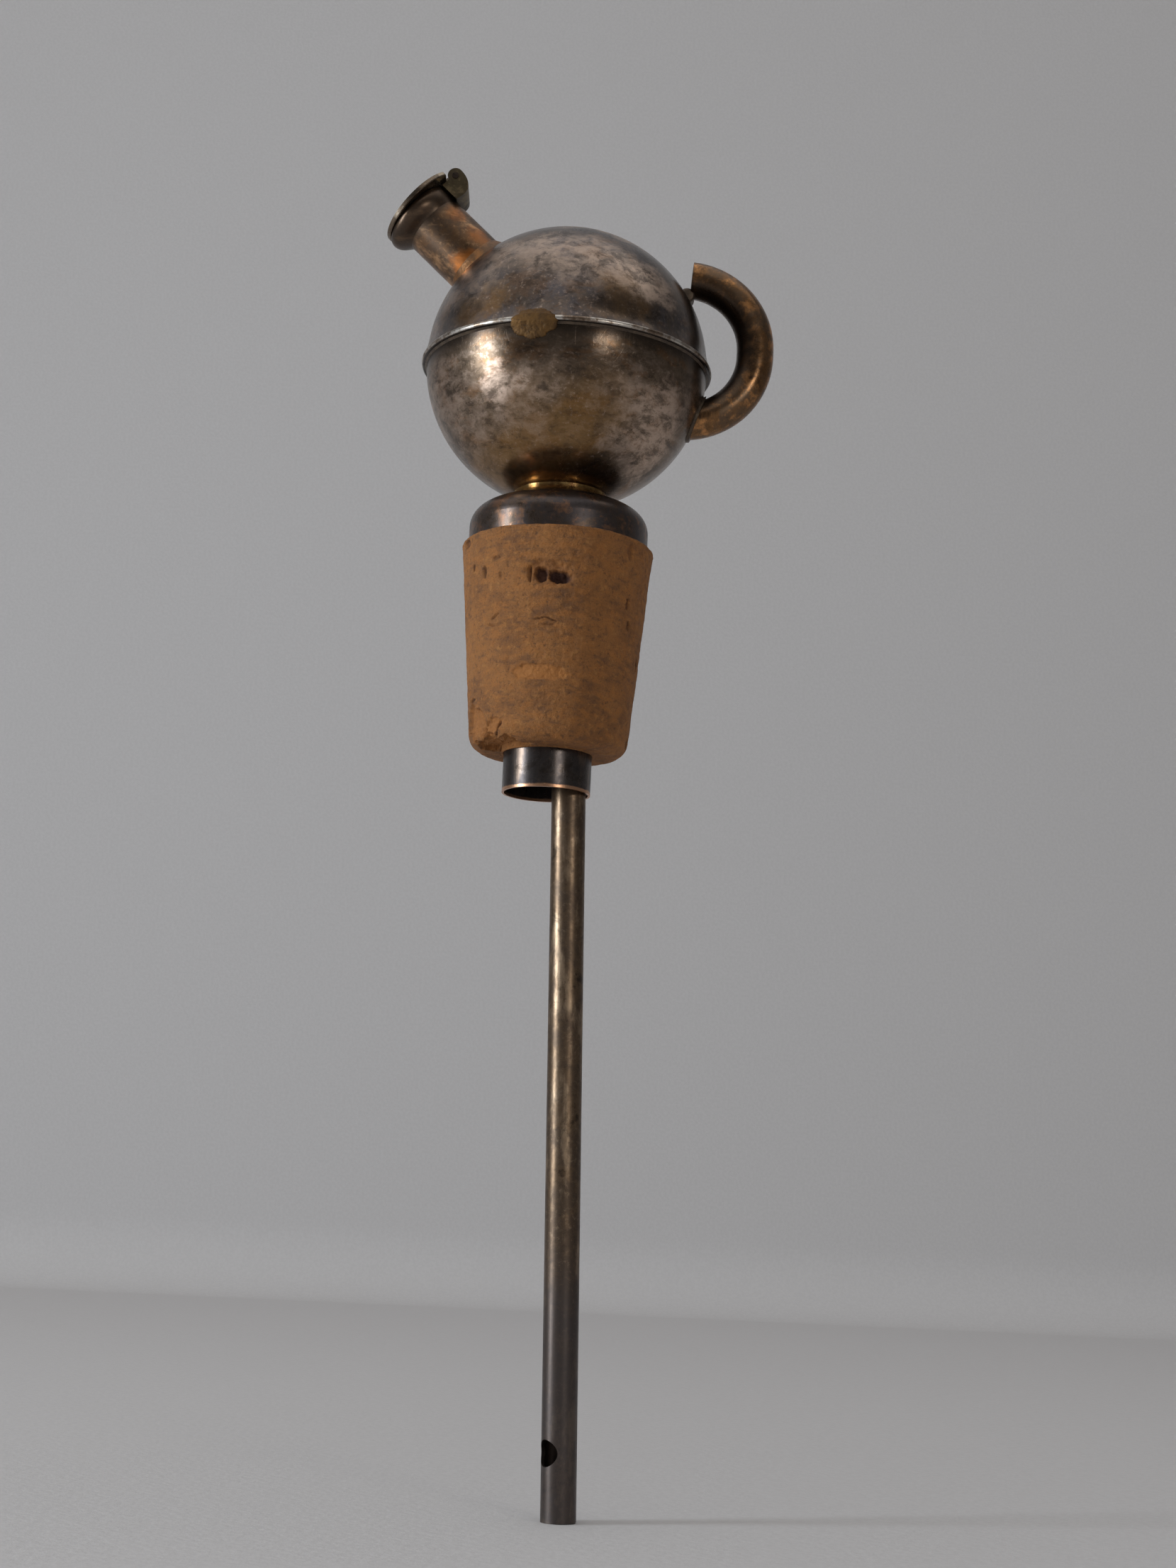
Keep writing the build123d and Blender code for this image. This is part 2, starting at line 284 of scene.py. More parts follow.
def bowl_metal(name, base, under, smear, stain, stretch, pale, dark, gold, has_belt):
    """Plate that has tarnished unevenly, with pale, dark and gold patches, and painted shade at the belt.
    """
    p = Paint(name)
    torn = p.ragged(9 * MM, 210)
    torn_fine = p.ragged(2.4 * MM, 800)
    clouds = p.noise(120, 8.0, 0.66, 0.5)
    mottle = p.noise(400, 8.0, 0.7, 0.3, at=p.moved((1, 1, stretch)))
    stains = p.noise(210, 6.0, 0.7, 0.5, at=p.moved((1, 1, stretch), shift=(0.3, 0.1, 0.2)))
    colour = p.mix(p.span(clouds, 0.38, 0.62), base, under)
    colour = p.mix(p.span(stains, 0.5, 0.62, 0.0, 0.55), colour, stain)
    colour = p.mix(p.span(mottle, 0.51, 0.62, 0.0, 0.55), colour, smear)
    colour = p.mix(p.span(mottle, 0.48, 0.36, 0.0, 0.6), colour, SOOT_AND_SHADE)
    gold_mask = p.calc("MULTIPLY", p.spots(gold, torn), p.span(mottle, 0.3, 0.6, 0.4, 1.0))
    colour = p.mix(gold_mask, colour, GOLD)
    pale_mask = p.calc("MULTIPLY", p.spots(pale, torn), p.span(mottle, 0.38, 0.58, 0.2, 1.0))
    colour = p.mix(pale_mask, colour, TAN)
    dark_mask = p.calc("MULTIPLY", p.spots(dark, torn_fine), p.span(mottle, 0.25, 0.55, 1.0, 0.65))
    colour = p.mix(dark_mask, colour, SOOT_AND_SHADE)
    colour = speckle(p, colour, TAN)
    rough = p.calc("ADD", p.span(clouds, 0.3, 0.7, 0.2, 0.31), p.calc("MULTIPLY", pale_mask, 0.14))
    if has_belt:
        colour, rough = rubbed_belt(p, colour, rough)
    else:
        # painted shade: the top of the lower bowl darkened under the belt
        colour = paint_shade_under_belt(p, colour, mottle)
    return p.finish(colour, PLATE, rough, wear_normal(p))


# Patches on the bowls: azimuth and rise in degrees, reach in mm, strength.
UPPER_PALE = [
    (24, 27, 6.0, 0.6), (37, 24, 5.0, 1.0), (41, 19, 3.6, 0.8), (42, 60, 4.5, 0.7),
    (5, 70, 5.5, 0.6), (8, 33, 6.5, 0.5), (-14, 36, 6, 0.5), (-34, 37, 5.0, 0.5),
    (2, 22, 4.0, 0.35), (-42, 24, 5, 0.25), (120, 40, 8, 0.6), (205, 15, 9, 0.6),
    (250, 45, 7, 0.5), (165, 55, 6, 0.5), (-75, 12, 6, 0.35), (-60, 20, 5, 0.3)]
UPPER_DARK = [
    (64, 26, 9.0, 0.5), (-25, 19, 7, 0.5), (12, 10, 7, 0.45), (150, 20, 8, 0.5), (230, 30, 7, 0.5)]
UPPER_GOLD = [
    (-40, 9, 4, 0.45), (-30, 9, 3, 0.5), (22, 13, 5, 0.4), (180, 8, 8, 0.5), (-80, 30, 6, 0.4)]
LOWER_PALE = [
    (-32, -25, 3.0, 1.0), (-20, -26.5, 2.6, 0.7), (-8, -28, 2.2, 0.4), (-66, -22, 8, 0.4),
    (-54, -38, 6, 0.25), (-26, -38, 5, 0.2), (52, -30, 6.0, 0.75), (56, -46, 5.5, 0.75),
    (38, -42, 4.5, 0.55), (64, -22, 4.0, 0.4), (30, -26, 4.0, 0.35), (10, -5.5, 1.3, 0.8),
    (130, -25, 8, 0.6), (200, -35, 9, 0.6), (260, -20, 7, 0.5)]
# The patches at a rise of -10 to -12, just under the belt, are painted shade; the rest are dark tarnish.
LOWER_DARK_AND_SHADE = [
    (37, -60, 6.0, 0.9), (-9.5, -27, 1.0, 1.0), (72, -10, 7.0, 0.55), (12, -12, 7, 0.6),
    (-14, -10, 5, 0.5), (28, -12, 5, 0.4), (170, -50, 7, 0.6), (240, -55, 6, 0.5)]
LOWER_GOLD = [
    (-28, -56, 8.0, 0.6), (0, -50, 9.0, 0.6), (-60, -60, 7.0, 0.5), (14, -36, 7, 0.45),
    (-14, -36, 6, 0.35), (150, -60, 9, 0.6)]

upper_metal = bowl_metal(
    "upper_tarnish_and_shade", tone(97, 87, 80), tone(90, 86, 89), tone(124, 108, 96), tone(112, 84, 60), 1.4,
    patches(UPPER_PALE), patches(UPPER_DARK), patches(UPPER_GOLD), has_belt=True)
lower_metal = bowl_metal(
    "lower_tarnish_and_shade", tone(118, 101, 85), tone(102, 86, 71), tone(158, 139, 124), tone(128, 92, 58), 2.0,
    patches(LOWER_PALE), patches(LOWER_DARK_AND_SHADE), patches(LOWER_GOLD), has_belt=False)


def tube_metal(name, base, under, worn, grain=(1, 1, 1), turn=0.0, grime=0.7, polish=0.24,
               shade=None, warm=None, ends=()):
    """Rubbed metal with streaks along its grain, and coppery and dark blotches.

    shade is a bend's centre and the distances from it at which the dark inner side starts
    and is full, warm lists orange patches, and each of ends is a direction, a start and a
    finish along it, a share and a colour.
    """
    p = Paint(name)
    streaks = p.noise(420, 5.0, 0.65, at=p.moved(grain, (0, turn, 0)))
    clouds = p.noise(260, 8.0, 0.7, 0.4)
    colour = p.mix(p.span(clouds, 0.38, 0.6), base, under)
    colour = p.mix(p.span(streaks, 0.5, 0.66, 0.0, 0.8), colour, worn)
    colour = p.mix(p.span(clouds, 0.46, 0.32, 0.0, grime), colour, SOOT_AND_SHADE)
    colour = speckle(p, colour, worn, 0.4)
    if shade is not None:
        centre, start, full = shade
        away = p.length(p.moved((1, 0, 1), shift=(-centre.x, 0, -centre.z)))
        colour = p.mix(p.span(p.wavy(away, clouds, 0.8 * MM), start, full, 0.0, 0.9), colour, SOOT_AND_SHADE)
    if warm is not None:
        ragged_spots = p.spots(warm, p.ragged(4 * MM, 400))
        patch = p.calc("MULTIPLY", ragged_spots, p.span(streaks, 0.35, 0.6, 0.5, 1.0))
        colour = p.mix(patch, colour, ORANGE)
    for way, start, finish, share, paint in ends:
        reach = p.wavy(p.along(way), clouds, 0.15 * MM)
        colour = p.mix(p.span(reach, start, finish, 0.0, share), colour, paint)
    rough = p.span(clouds, 0.3, 0.7, polish, polish + 0.14)
    return p.finish(colour, PLATE, rough, wear_normal(p, 0.8, 0.06 * MM))


# The handle's bend: its centre is this far in from the handle's outer side.
HANDLE_BEND_REACH = 11.4 * MM
handle_low, handle_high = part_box("handle_tube")
HANDLE_CENTRE = Vector((handle_high.x - HANDLE_BEND_REACH, 0, (handle_low.z + handle_high.z) / 2))
HANDLE_SHADE = (HANDLE_CENTRE, 9.9 * MM, 8.0 * MM)

# The spout's directions, and the point on its axis that is square across from the hinge pin.
HINGE = Vector(frame["record"]["behaviour"]["joints"][0]["pos_m"])
HINGE_TO_AXIS = 5.9
SPOUT_TILT = math.radians(43)
SPOUT_OUT = Vector((-math.cos(SPOUT_TILT), 0, math.sin(SPOUT_TILT)))
SPOUT_DOWN = Vector((-math.sin(SPOUT_TILT), 0, -math.cos(SPOUT_TILT)))
SPOUT_MID = HINGE + SPOUT_DOWN * HINGE_TO_AXIS * MM
SPOUT_FRONT = Vector((0, -4, 0))


def on_spout(back, down):
    """A point by the spout's -Y side, in mm back from its mouth and across to its lower side."""
    return SPOUT_MID + (SPOUT_FRONT - SPOUT_OUT * back + SPOUT_DOWN * down) * MM


SPOUT_WARM = [(on_spout(9.5, 2.0), 2.6 * MM, 0.7), (on_spout(8.5, -2.6), 2.4 * MM, 0.4),
              (on_spout(4.0, -2.5), 2.2 * MM, 0.35)]
LIP_FROM = HINGE.dot(SPOUT_OUT) - 3.3 * MM
DARK_LIP = (SPOUT_OUT, LIP_FROM, LIP_FROM + 1.3 * MM, 0.75, tone(72, 62, 54))

UPWARD = Vector((0, 0, 1))
SLEEVE_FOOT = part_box("sleeve_tube")[0].z
VENT_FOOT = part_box("vent_tube")[0].z
BRIGHT_RIM = (UPWARD, SLEEVE_FOOT + 0.45 * MM, SLEEVE_FOOT + 0.25 * MM, 0.9, tone(206, 158, 124))
DARK_FOOT = (UPWARD, VENT_FOOT + 34 * MM, VENT_FOOT + 22 * MM, 0.75, tone(80, 76, 77))

spout_metal = tube_metal(
    "spout_tarnish", tone(124, 94, 68), tone(98, 80, 66), tone(190, 150, 112),
    (0.12, 1, 1), -SPOUT_TILT, 0.85, 0.27, warm=SPOUT_WARM, ends=[DARK_LIP])
lid_metal = tube_metal(
    "lid_tarnish", tone(128, 112, 96), tone(108, 94, 80), tone(190, 176, 156), grime=0.6, polish=0.22)
hinge_metal = tube_metal(
    "hinge_tarnish", tone(92, 82, 62), tone(74, 64, 52), tone(132, 116, 88), polish=0.36)
# The inner side of the handle's bend gets painted shade.
handle_metal = tube_metal(
    "handle_tarnish_and_shade", tone(132, 96, 62), tone(106, 86, 68), tone(204, 146, 92),
    grime=0.8, polish=0.22, shade=HANDLE_SHADE)
collar_metal = tube_metal(
    "collar_tarnish", tone(94, 80, 70), tone(80, 74, 74), tone(140, 104, 80))
vent_metal = tube_metal(
    "tube_tarnish", tone(118, 98, 78), tone(92, 78, 66), tone(166, 144, 120),
    (1, 1, 0.3), grime=0.85, polish=0.32, ends=[DARK_FOOT])
sleeve_metal = tube_metal(
    "sleeve_tarnish", tone(82, 76, 74), tone(66, 62, 62), tone(118, 102, 90),
    (1, 1, 0.2), ends=[BRIGHT_RIM])
neck_metal = tube_metal(
    "neck_brass_wear", tone(176, 140, 84), tone(120, 90, 60), tone(232, 196, 132), grime=0.9, polish=0.16)
pin_metal = tube_metal(
    "pin_wear", tone(60, 50, 44), tone(46, 40, 36), tone(90, 78, 66), grime=0.6, polish=0.5)


def solder_metal(name, base, under, rough, rise):
    """Lumpy, pitted solder."""
    p = Paint(name)
    lumps = p.noise(700, 5.0, 0.65)
    pits = p.cells(1800)
    colour = p.mix(p.span(lumps, 0.35, 0.65), base, under)
    colour = p.mix(p.span(pits, 0.25, 0.05, 0.0, 0.5), colour, SOOT_AND_SHADE)
    colour = speckle(p, colour, base, 0.4)
    n = p.bump(lumps, rise)
    n = p.bump(pits, rise / 5, under=n)
    return p.finish(colour, 0.75, rough, n)


dark_solder = solder_metal("solder_wear", tone(98, 84, 70), tone(74, 64, 56), 0.42, 0.16 * MM)
warm_solder = solder_metal("spout_solder_wear", tone(142, 98, 58), tone(100, 74, 52), 0.4, 0.12 * MM)
brown_solder = solder_metal("old_solder_wear", tone(112, 82, 46), tone(84, 62, 38), 0.6, 0.1 * MM)

METALS = [
    (upper_metal, ["upper_bowl"]),
    (lower_metal, ["lower_bowl"]),
    (spout_metal, ["spout_tube"]),
    (lid_metal, ["lid"]),
    (hinge_metal, ["hinge_bracket"]),
    (handle_metal, ["handle_tube"]),
    (collar_metal, ["collar"]),
    (neck_metal, ["neck_ring"]),
    (sleeve_metal, ["sleeve_tube"]),
    (vent_metal, ["vent_tube", "vent_elbow", "vent_coupling"]),
    (warm_solder, ["spout_solder"]),
    (dark_solder, ["seam_solder", "handle_root_solder", "handle_tip_solder"]),
    (dark_solder, ["elbow_solder", "vent_solder"]),
    (pin_metal, ["hinge_pin"])]
for metal, names in METALS:
    for name in names:
        NODES[name].data.materials.clear()
        NODES[name].data.materials.append(metal)


# ---------------------------------------------------------------- meshes

def smooth_mesh(name, points, faces, material):
    """A smooth-shaded mesh of one material, linked to the scene."""
    mesh = bpy.data.meshes.new(name)
    mesh.from_pydata(points, [], faces)
    mesh.validate()
    mesh.update()
    mesh.shade_smooth()
    mesh.materials.append(material)
    made = bpy.data.objects.new(name, mesh)
    SCENE.collection.objects.link(made)
    return made


def closed_piece(name, rings, material, body, node):
    """A turned skin of rings whose last ring joins the first, as one mesh."""
    count, around = rings.shape[0], rings.shape[1]
    index = np.arange(count * around).reshape(count, around)
    up = np.roll(index, -1, 0)
    quads = np.stack([index, np.roll(index, -1, 1), np.roll(up, -1, 1), up], -1).reshape(-1, 4)
    made = smooth_mesh(name, rings.reshape(-1, 3).tolist(), quads.tolist(), material)
    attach(made, body)
    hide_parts(node)
    return made


def field(points, scale, seed, octaves):
    """Smooth noise of about -1 to 1 at each point, in features of 1 / scale metres."""
    out = np.empty(len(points))
    shift = Vector((seed, seed * 1.7, -seed))
    for i, q in enumerate(points):
        out[i] = noise.fractal(Vector(q) * scale + shift, 0.6, 2.0, octaves)
    return out


# ---------------------------------------------------------------- cork

def cork_material():
    """Mottled cork, red-brown in its hollows and pale where it is freshly torn."""
    p = Paint("worn_cork")
    torn = p.ragged(2 * MM, 700)
    clouds = p.noise(150, 5.0, 0.6, 0.4)
    grain = p.noise(1500, 5.0, 0.7)
    dust = p.noise(5200, 3.0, 0.7)
    cells = p.cells(1700, at=torn)
    flat = p.noise(520, 4.0, 0.65, at=p.moved((1, 1, 2.6)))
    colour = p.mix(p.span(clouds, 0.36, 0.66), tone(148, 98, 50), tone(126, 82, 42))
    colour = p.mix(p.span(flat, 0.5, 0.62, 0.0, 0.6), colour, tone(162, 104, 48))
    colour = p.mix(p.span(flat, 0.46, 0.34, 0.0, 0.6), colour, tone(104, 70, 44))
    colour = p.mix(p.span(grain, 0.54, 0.66, 0.0, 0.45), colour, tone(178, 124, 66))
    colour = p.mix(p.span(grain, 0.44, 0.32, 0.0, 0.65), colour, tone(78, 50, 30))
    colour = p.mix(p.span(dust, 0.46, 0.34, 0.0, 0.5), colour, tone(84, 54, 32))
    colour = p.mix(p.span(cells, 0.12, 0.0, 0.0, 0.5), colour, tone(92, 56, 36))
    deep = p.add("ShaderNodeAttribute", attribute_name="hollow").outputs["Fac"]
    fresh = p.add("ShaderNodeAttribute", attribute_name="fresh").outputs["Fac"]
    colour = p.mix(p.calc("MULTIPLY", fresh, 0.5), colour, tone(184, 120, 58))
    colour = p.mix(deep, colour, tone(58, 30, 24))
    n = p.bump(grain, 0.22 * MM)
    n = p.bump(cells, 0.06 * MM, under=n)
    n = p.bump(dust, 0.04 * MM, under=n)
    return p.finish(colour, 0.0, 0.82, n)


CORK_TAPER = 2.3 * MM
TOP_ROUND = 0.5 * MM
FOOT_ROUND = 2.2 * MM


def cork_outline(bore, top_r, length):
    """Half the cork's section, as rows of radius and height from the top.

    It goes out over the top, round the rim, down the side, round the foot and back up the bore.
    """
    lean = CORK_TAPER / length
    side_low = length - FOOT_ROUND
    rim_r = top_r - TOP_ROUND
    foot_r = top_r - lean * side_low - FOOT_ROUND
    line = [(bore, 0.0)]
    for t in np.linspace(0, 1, 14)[1:]:
        line.append((bore + (rim_r - bore) * t, 0.0))
    for t in np.linspace(0, QUARTER, 8)[1:]:
        line.append((rim_r + TOP_ROUND * math.sin(t), -TOP_ROUND + TOP_ROUND * math.cos(t)))
    for s in np.linspace(TOP_ROUND, side_low, 210)[1:]:
        line.append((top_r - lean * s, -s))
    for t in np.linspace(0, QUARTER, 34)[1:]:
        line.append((foot_r + FOOT_ROUND * math.cos(t), -side_low - FOOT_ROUND * math.sin(t)))
    for t in np.linspace(0, 1, 26)[1:]:
        line.append((foot_r + (bore - foot_r) * t, -length))
    for t in np.linspace(0, 1, 12)[1:-1]:
        line.append((bore, -length * (1 - t)))
    return np.array(line)


class CorkWear:
    """How far each point of the cork's skin sinks, and how dark or freshly torn it is."""

    def __init__(self, points):
        self.azimuth = np.degrees(np.arctan2(points[:, 0], -points[:, 1]))
        self.radius = np.hypot(points[:, 0], points[:, 1])
        self.level = points[:, 2]
        self.rough = field(points, 900, 3.1, 4)
        self.edge = field(points, 420, 1.3, 4)
        broad = field(points, 160, 7.7, 3)
        self.sink = 0.05 * MM * np.clip(0.5 + self.rough, 0, 1.4) + 0.08 * MM * np.clip(0.5 + broad, 0, 1)
        self.hollow = np.zeros(len(points))
        self.fresh = np.zeros(len(points))

    def hole(self, at, level, half_w, half_h, depth, dark=1.0, torn=0.35, sharp=0.3, new=0.0, tilt=0.0):
        """A hollow in the side, in mm about a point given by its angle in degrees and its level."""
        u = np.radians((self.azimuth - at + 180) % 360 - 180) * self.radius / MM
        v = self.level / MM - level
        a = u * math.cos(tilt) + v * math.sin(tilt)
        b = v * math.cos(tilt) - u * math.sin(tilt)
        d = np.sqrt((a / half_w) ** 2 + (b / half_h) ** 2) + torn * self.edge + 0.12 * self.rough
        m = np.clip((1 + sharp / 2 - d) / sharp, 0, 1)
        m = m * m * (3 - 2 * m)
        self.sink = self.sink + m * depth * MM * (1 + 0.25 * self.rough)
        self.hollow = np.maximum(self.hollow, m * dark)
        self.fresh = np.maximum(self.fresh, m * new)


# Hollows on the back and far sides: azimuth, level, half width, half height and depth.
BACK_HOLES = [
    (120, -5, 1.2, 0.5, 0.6), (150, -14, 0.6, 1.3, 0.5), (176, -9, 1.6, 0.7, 0.7),
    (201, -20, 0.9, 0.5, 0.5), (222, -4, 0.4, 0.9, 0.5), (238, -13, 1.1, 0.4, 0.5),
    (98, -18, 0.5, 1.0, 0.5), (133, -23.5, 2.0, 1.0, 0.5), (265, -8, 0.5, 0.7, 0.5),
    (188, -25, 2.4, 0.8, 0.5), (76, -15, 0.4, 0.9, 0.4), (85, -24.6, 1.4, 0.7, 0.4)]


def cut_holes(hole):
    """Every hollow, crack and crumbled place on the cork."""
    # the two dark hollows with a pale fleck between them, in a shallow torn patch
    hole(-4.5, -6.2, 2.7, 1.35, 0.35, dark=0.15, sharp=0.5, new=0.3)
    hole(-9.0, -6.35, 0.8, 0.8, 0.9, dark=0.85, sharp=0.35)
    hole(2.8, -6.6, 1.35, 0.75, 1.0, dark=0.95, sharp=0.35, tilt=-0.15)
    hole(-16.0, -6.4, 0.2, 0.9, 0.3, dark=0.45)
    # a thin curved crack, and small pits and slits
    hole(-8.6, -11.7, 0.75, 0.1, 0.22, dark=0.3, torn=0.25, tilt=0.22)
    hole(-1.6, -11.75, 0.7, 0.1, 0.22, dark=0.4, torn=0.25, tilt=-0.35)
    hole(-3.5, -12.4, 0.9, 0.1, 0.16, dark=0.15, torn=0.25)
    hole(-60.6, -4.42, 0.22, 0.4, 0.4, dark=0.7, torn=0.2)
    hole(-49.1, -5.41, 0.25, 0.7, 0.4, dark=0.4, torn=0.3)
    hole(-38.8, -3.9, 0.7, 0.2, 0.25, dark=0.3)
    hole(-36.0, -6.2, 0.2, 0.45, 0.2, dark=0.15)
    hole(-40.7, -11.1, 0.8, 0.12, 0.22, dark=0.3, tilt=0.5)
    hole(-44.0, -12.1, 0.6, 0.12, 0.2, dark=0.25, tilt=-0.3)
    hole(52.1, -8.4, 0.22, 0.75, 0.45, dark=0.9, torn=0.2)
    hole(55.7, -11.0, 0.25, 0.6, 0.45, dark=0.9, torn=0.2)
    hole(50.4, -1.9, 0.5, 1.1, 0.2, dark=0.25)
    hole(-70.0, -1.0, 1.0, 0.5, 0.35, dark=0.5)
    # the scraped patch, and the crumbled foot
    hole(-7.5, -18.1, 3.5, 1.0, 0.22, dark=0.0, torn=0.22, sharp=0.2, new=1.0)
    hole(-29.0, -17.2, 0.8, 1.2, 0.1, dark=0.12, sharp=0.8, tilt=0.4)
    hole(-68.0, -23.6, 2.4, 2.1, 0.55, dark=0.05, torn=0.5, new=0.8)
    hole(-52.0, -26.4, 3.2, 1.0, 0.75, dark=0.05, torn=0.5, new=0.8)
    hole(-44.0, -24.6, 1.9, 0.9, 0.35, dark=0.1, torn=0.5, new=1.0, tilt=0.5)
    hole(-40.0, -24.9, 0.25, 1.2, 0.35, dark=0.7, torn=0.3, tilt=-0.5)
    hole(-70.0, -20.6, 1.0, 0.2, 0.35, dark=0.7, torn=0.3)
    # the back and far sides, unseen in front
    for row in BACK_HOLES:
        hole(*row, dark=0.8)


def make_cork():
    low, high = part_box("cork")
    sleeve_low, sleeve_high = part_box("sleeve_tube")
    bore = (sleeve_high.x - sleeve_low.x) / 2 + 0.02 * MM
    line = cork_outline(bore, (high.x - low.x) / 2, high.z - low.z)
    around = 480
    turn = np.linspace(0, 2 * math.pi, around, endpoint=False)
    r, z = line[:, 0][:, None], line[:, 1][:, None] + high.z
    x, y = r * np.sin(turn), -r * np.cos(turn)
    rings = np.stack([x, y, np.broadcast_to(z, x.shape)], -1)
    tangent = np.gradient(line, axis=0)
    normal = np.stack([-tangent[:, 1], tangent[:, 0]], -1)
    normal /= np.linalg.norm(normal, axis=1)[:, None] + 1e-12
    out = np.stack([normal[:, :1] * np.sin(turn), -normal[:, :1] * np.cos(turn),
                    np.broadcast_to(normal[:, 1:], x.shape)], -1)

    wear = CorkWear(rings.reshape(-1, 3))
    cut_holes(wear.hole)
    in_bore = line[:, 0] < bore + 0.3 * MM
    sink = np.where(in_bore[:, None], 0.0, wear.sink.reshape(x.shape))
    made = closed_piece("cork_body", rings - out * sink[..., None], cork_material(), "pourer", "cork")
    for label, values in (("hollow", wear.hollow), ("fresh", wear.fresh)):
        attribute = made.data.attributes.new(label, "FLOAT", "POINT")
        attribute.data.foreach_set("value", values.astype(np.float32))


make_cork()


# ---------------------------------------------------------------- the old solder on the belt

LUMP_HALF_W = 3.1 * MM
LUMP_THICK = 0.34 * MM
LUMP_ROOT = 0.35 * MM


def make_lump():
    """A flat smear that follows the belt and the ball, thickest at its middle."""
    low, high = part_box("belt_solder")
    middle = (low + high) / 2
    turn_at = math.atan2(middle.x, -middle.y)
    half_h = (high.z - low.z) / 2 - 0.05 * MM
    belt_out = upper_high.x
    rings, around = 60, 160
    share = np.linspace(0, 1, rings + 1)[1:, None]
    lon = np.linspace(0, 2 * math.pi, around, endpoint=False)[None, :]
    rim_points = np.stack([np.cos(lon[0]), np.sin(lon[0]), 0 * lon[0]], -1)
    edge = 1 + 0.16 * field(rim_points, 1.5, 4.0, 4)
    edge = edge / edge.max()
    u = share * np.cos(lon) * LUMP_HALF_W * edge
    v = share * np.sin(lon) * half_h * edge
    z = middle.z + v
    ball = np.sqrt(np.maximum(BALL_R ** 2 - (z - BALL_C.z) ** 2, 0))
    near_belt = np.clip(1.25 - np.abs(z - SEAM_Z) / (1.1 * MM), 0, 1)
    skin = ball + (belt_out - 0.12 * MM - ball) * near_belt ** 1.5
    bumps = field(np.stack([u, v, 0 * u], -1).reshape(-1, 3), 900, 6.0, 4).reshape(u.shape)
    thick = LUMP_THICK * np.sqrt(np.maximum(1 - share ** 4, 0)) * (1 + 0.22 * bumps)
    turn = turn_at + u / BALL_R

    def placed(radius):
        return np.stack([radius * np.sin(turn), -radius * np.cos(turn), z], -1).reshape(-1, 3)

    face = placed(np.minimum(skin + thick, belt_out + 0.1 * MM))
    back = placed(ball - LUMP_ROOT)
    centres = [face[:around].mean(0), back[:around].mean(0)]
    pts = np.concatenate([face, back, centres])
    index = np.arange(rings * around).reshape(rings, around)
    a, b = index[:-1], index[1:]
    quads = np.stack([a, b, np.roll(b, -1, 1), np.roll(a, -1, 1)], -1).reshape(-1, 4)
    count = rings * around
    faces = quads.tolist() + (quads[:, ::-1] + count).tolist()
    rim, first = index[-1], index[0]
    faces += np.stack([rim, rim + count, np.roll(rim, -1) + count, np.roll(rim, -1)], -1).tolist()
    for p, q in zip(first.tolist(), np.roll(first, -1).tolist()):
        faces += [[2 * count, p, q], [2 * count + 1, q + count, p + count]]
    lump = smooth_mesh("belt_lump", pts.tolist(), faces, brown_solder)
    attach(lump, "pourer")
    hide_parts("belt_solder")


make_lump()


# ---------------------------------------------------------------- floor, wall, lights, camera

WALL_Y = 0.67
SWEEP_FOLD = 0.03
SWEEP_REACH = 1.8


def make_sweep():
    """A sheet of pale paper: a floor under the vent tube that curves up into a wall behind."""
    p = Paint("pale_paper")
    fibre = p.noise(900, 3.0, 0.6)
    colour = p.mix(p.span(fibre, 0.35, 0.65), tone(205, 203, 203), tone(209, 207, 207))
    paper = p.finish(colour, 0.0, 0.9, p.bump(fibre, 0.08 * MM))
    line = [(-SWEEP_REACH, 0.0), (-0.6, 0.0), (0.0, 0.0)]
    for t in np.linspace(0, QUARTER, 16):
        line.append((WALL_Y - SWEEP_FOLD + SWEEP_FOLD * math.sin(t), SWEEP_FOLD - SWEEP_FOLD * math.cos(t)))
    line += [(WALL_Y, 0.5), (WALL_Y, SWEEP_REACH)]
    verts = [(side, y, VENT_FOOT + z) for y, z in line for side in (-SWEEP_REACH, SWEEP_REACH)]
    faces = [(2 * i, 2 * i + 1, 2 * i + 3, 2 * i + 2) for i in range(len(line) - 1)]
    sweep = smooth_mesh("sweep", verts, faces, paper)


make_sweep()


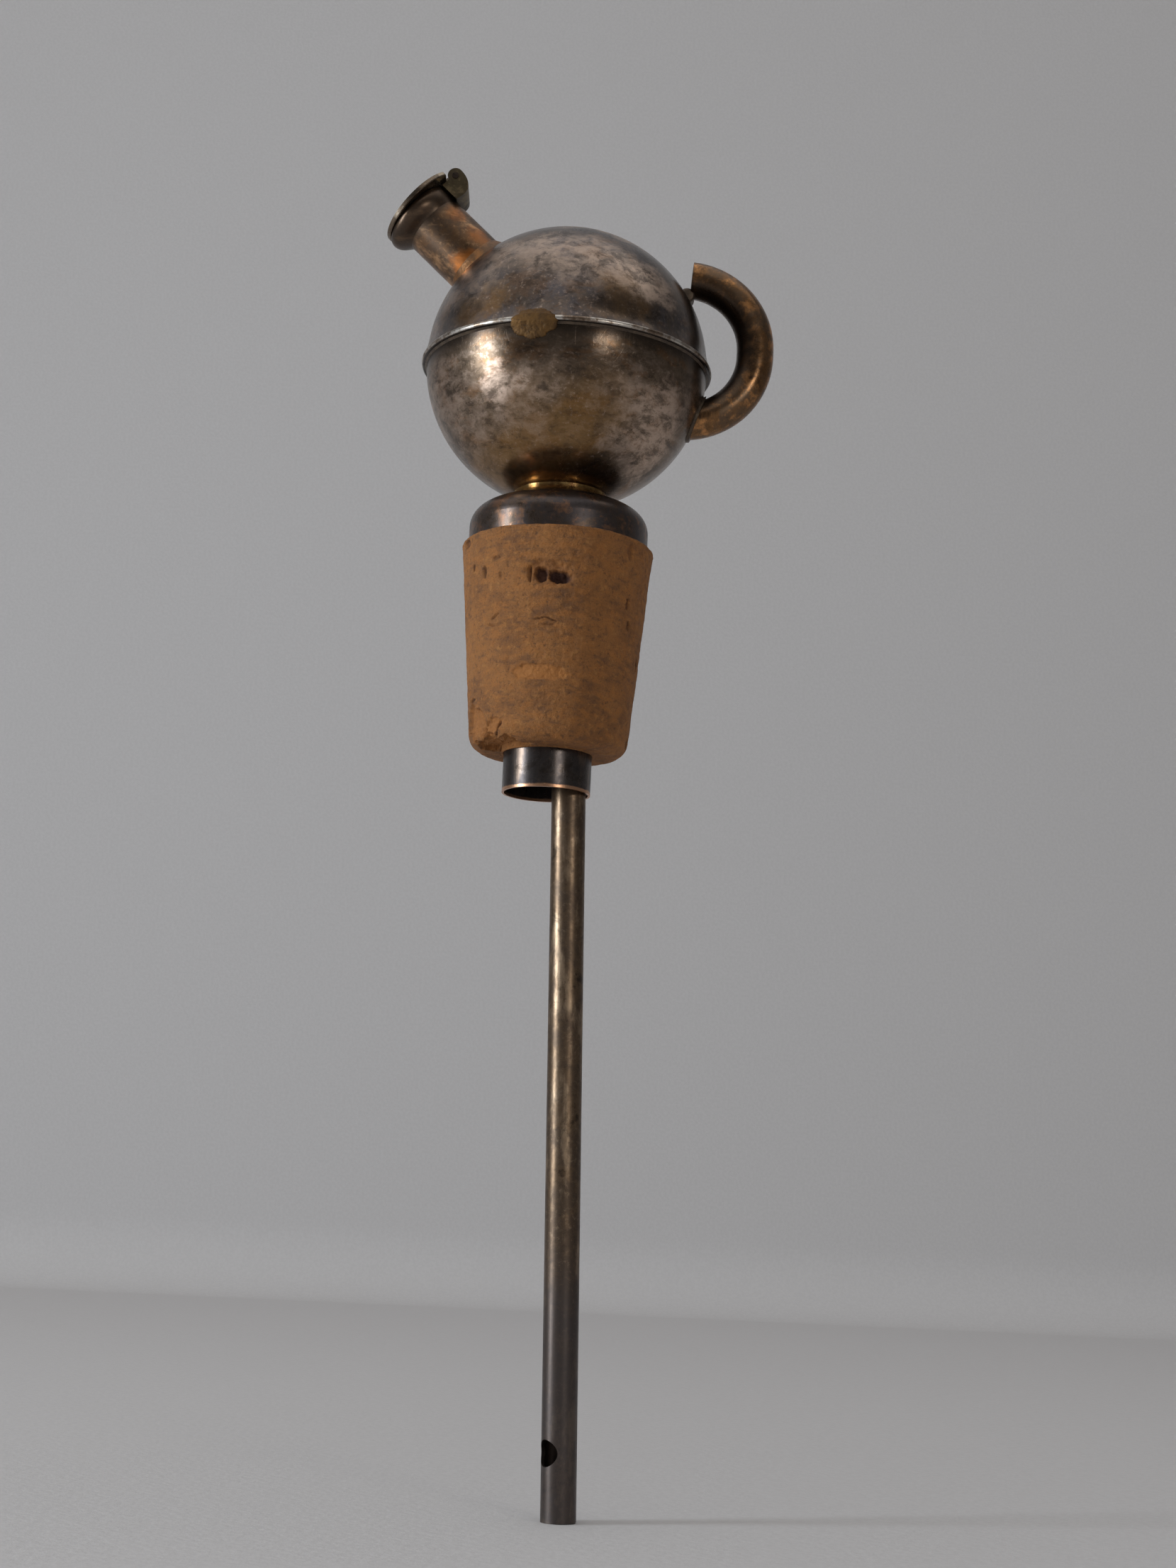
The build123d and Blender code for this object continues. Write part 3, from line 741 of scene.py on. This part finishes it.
def soft_light(name, azimuth, rise, distance, width, height, watts, colour):
    """A soft panel that faces the ball, seen from it at an azimuth and a rise."""
    out = facing(azimuth, rise)
    data = bpy.data.lights.new(name, "AREA")
    data.shape = "RECTANGLE"
    data.size, data.size_y = width, height
    data.energy = watts
    data.color = colour
    panel = bpy.data.objects.new(name, data)
    SCENE.collection.objects.link(panel)
    panel.location = BALL_C + out * distance
    panel.rotation_mode = "QUATERNION"
    panel.rotation_quaternion = out.to_track_quat("Z", "Y")
    panel.visible_camera = False


soft_light("window_left", azimuth=-69, rise=3, distance=0.75, width=0.14, height=0.37,
           watts=3.6, colour=(0.87, 0.94, 1.0))
soft_light("lamp_right", azimuth=31, rise=6, distance=0.8, width=0.16, height=0.09,
           watts=0.6, colour=(1.0, 0.96, 0.9))
soft_light("ceiling", azimuth=-40, rise=78, distance=1.5, width=2.6, height=2.6,
           watts=14.5, colour=(1.0, 0.99, 0.98))

world = bpy.data.worlds.new("room")
world.use_nodes = True
air = world.node_tree.nodes["Background"]
air.inputs["Color"].default_value = (0.95, 0.93, 0.92, 1)
air.inputs["Strength"].default_value = 0.13
SCENE.world = world

# The camera that was fitted to the photo; its angles are in radians.
CAMERA_AT = Vector((2.67, -282.45, -82.81)) * MM
CAMERA_YAW, CAMERA_PITCH, CAMERA_ROLL = 0.0087, 0.1862, 0.0459
ahead = Vector((math.sin(CAMERA_YAW) * math.cos(CAMERA_PITCH),
                math.cos(CAMERA_YAW) * math.cos(CAMERA_PITCH), math.sin(CAMERA_PITCH)))
level = Vector((math.cos(CAMERA_YAW), -math.sin(CAMERA_YAW), 0))
upright = level.cross(ahead)
right = level * math.cos(CAMERA_ROLL) + upright * math.sin(CAMERA_ROLL)
up = upright * math.cos(CAMERA_ROLL) - level * math.sin(CAMERA_ROLL)
lens = bpy.data.cameras.new("camera")
lens.sensor_width = 36
lens.lens = 53.62
lens.clip_start, lens.clip_end = 0.01, 20
lens.dof.use_dof = False
camera = bpy.data.objects.new("camera", lens)
SCENE.collection.objects.link(camera)
camera.matrix_world = Matrix.Translation(CAMERA_AT) @ Matrix((right, up, -ahead)).transposed().to_4x4()
SCENE.camera = camera
SCENE.view_settings.view_transform = "Standard"
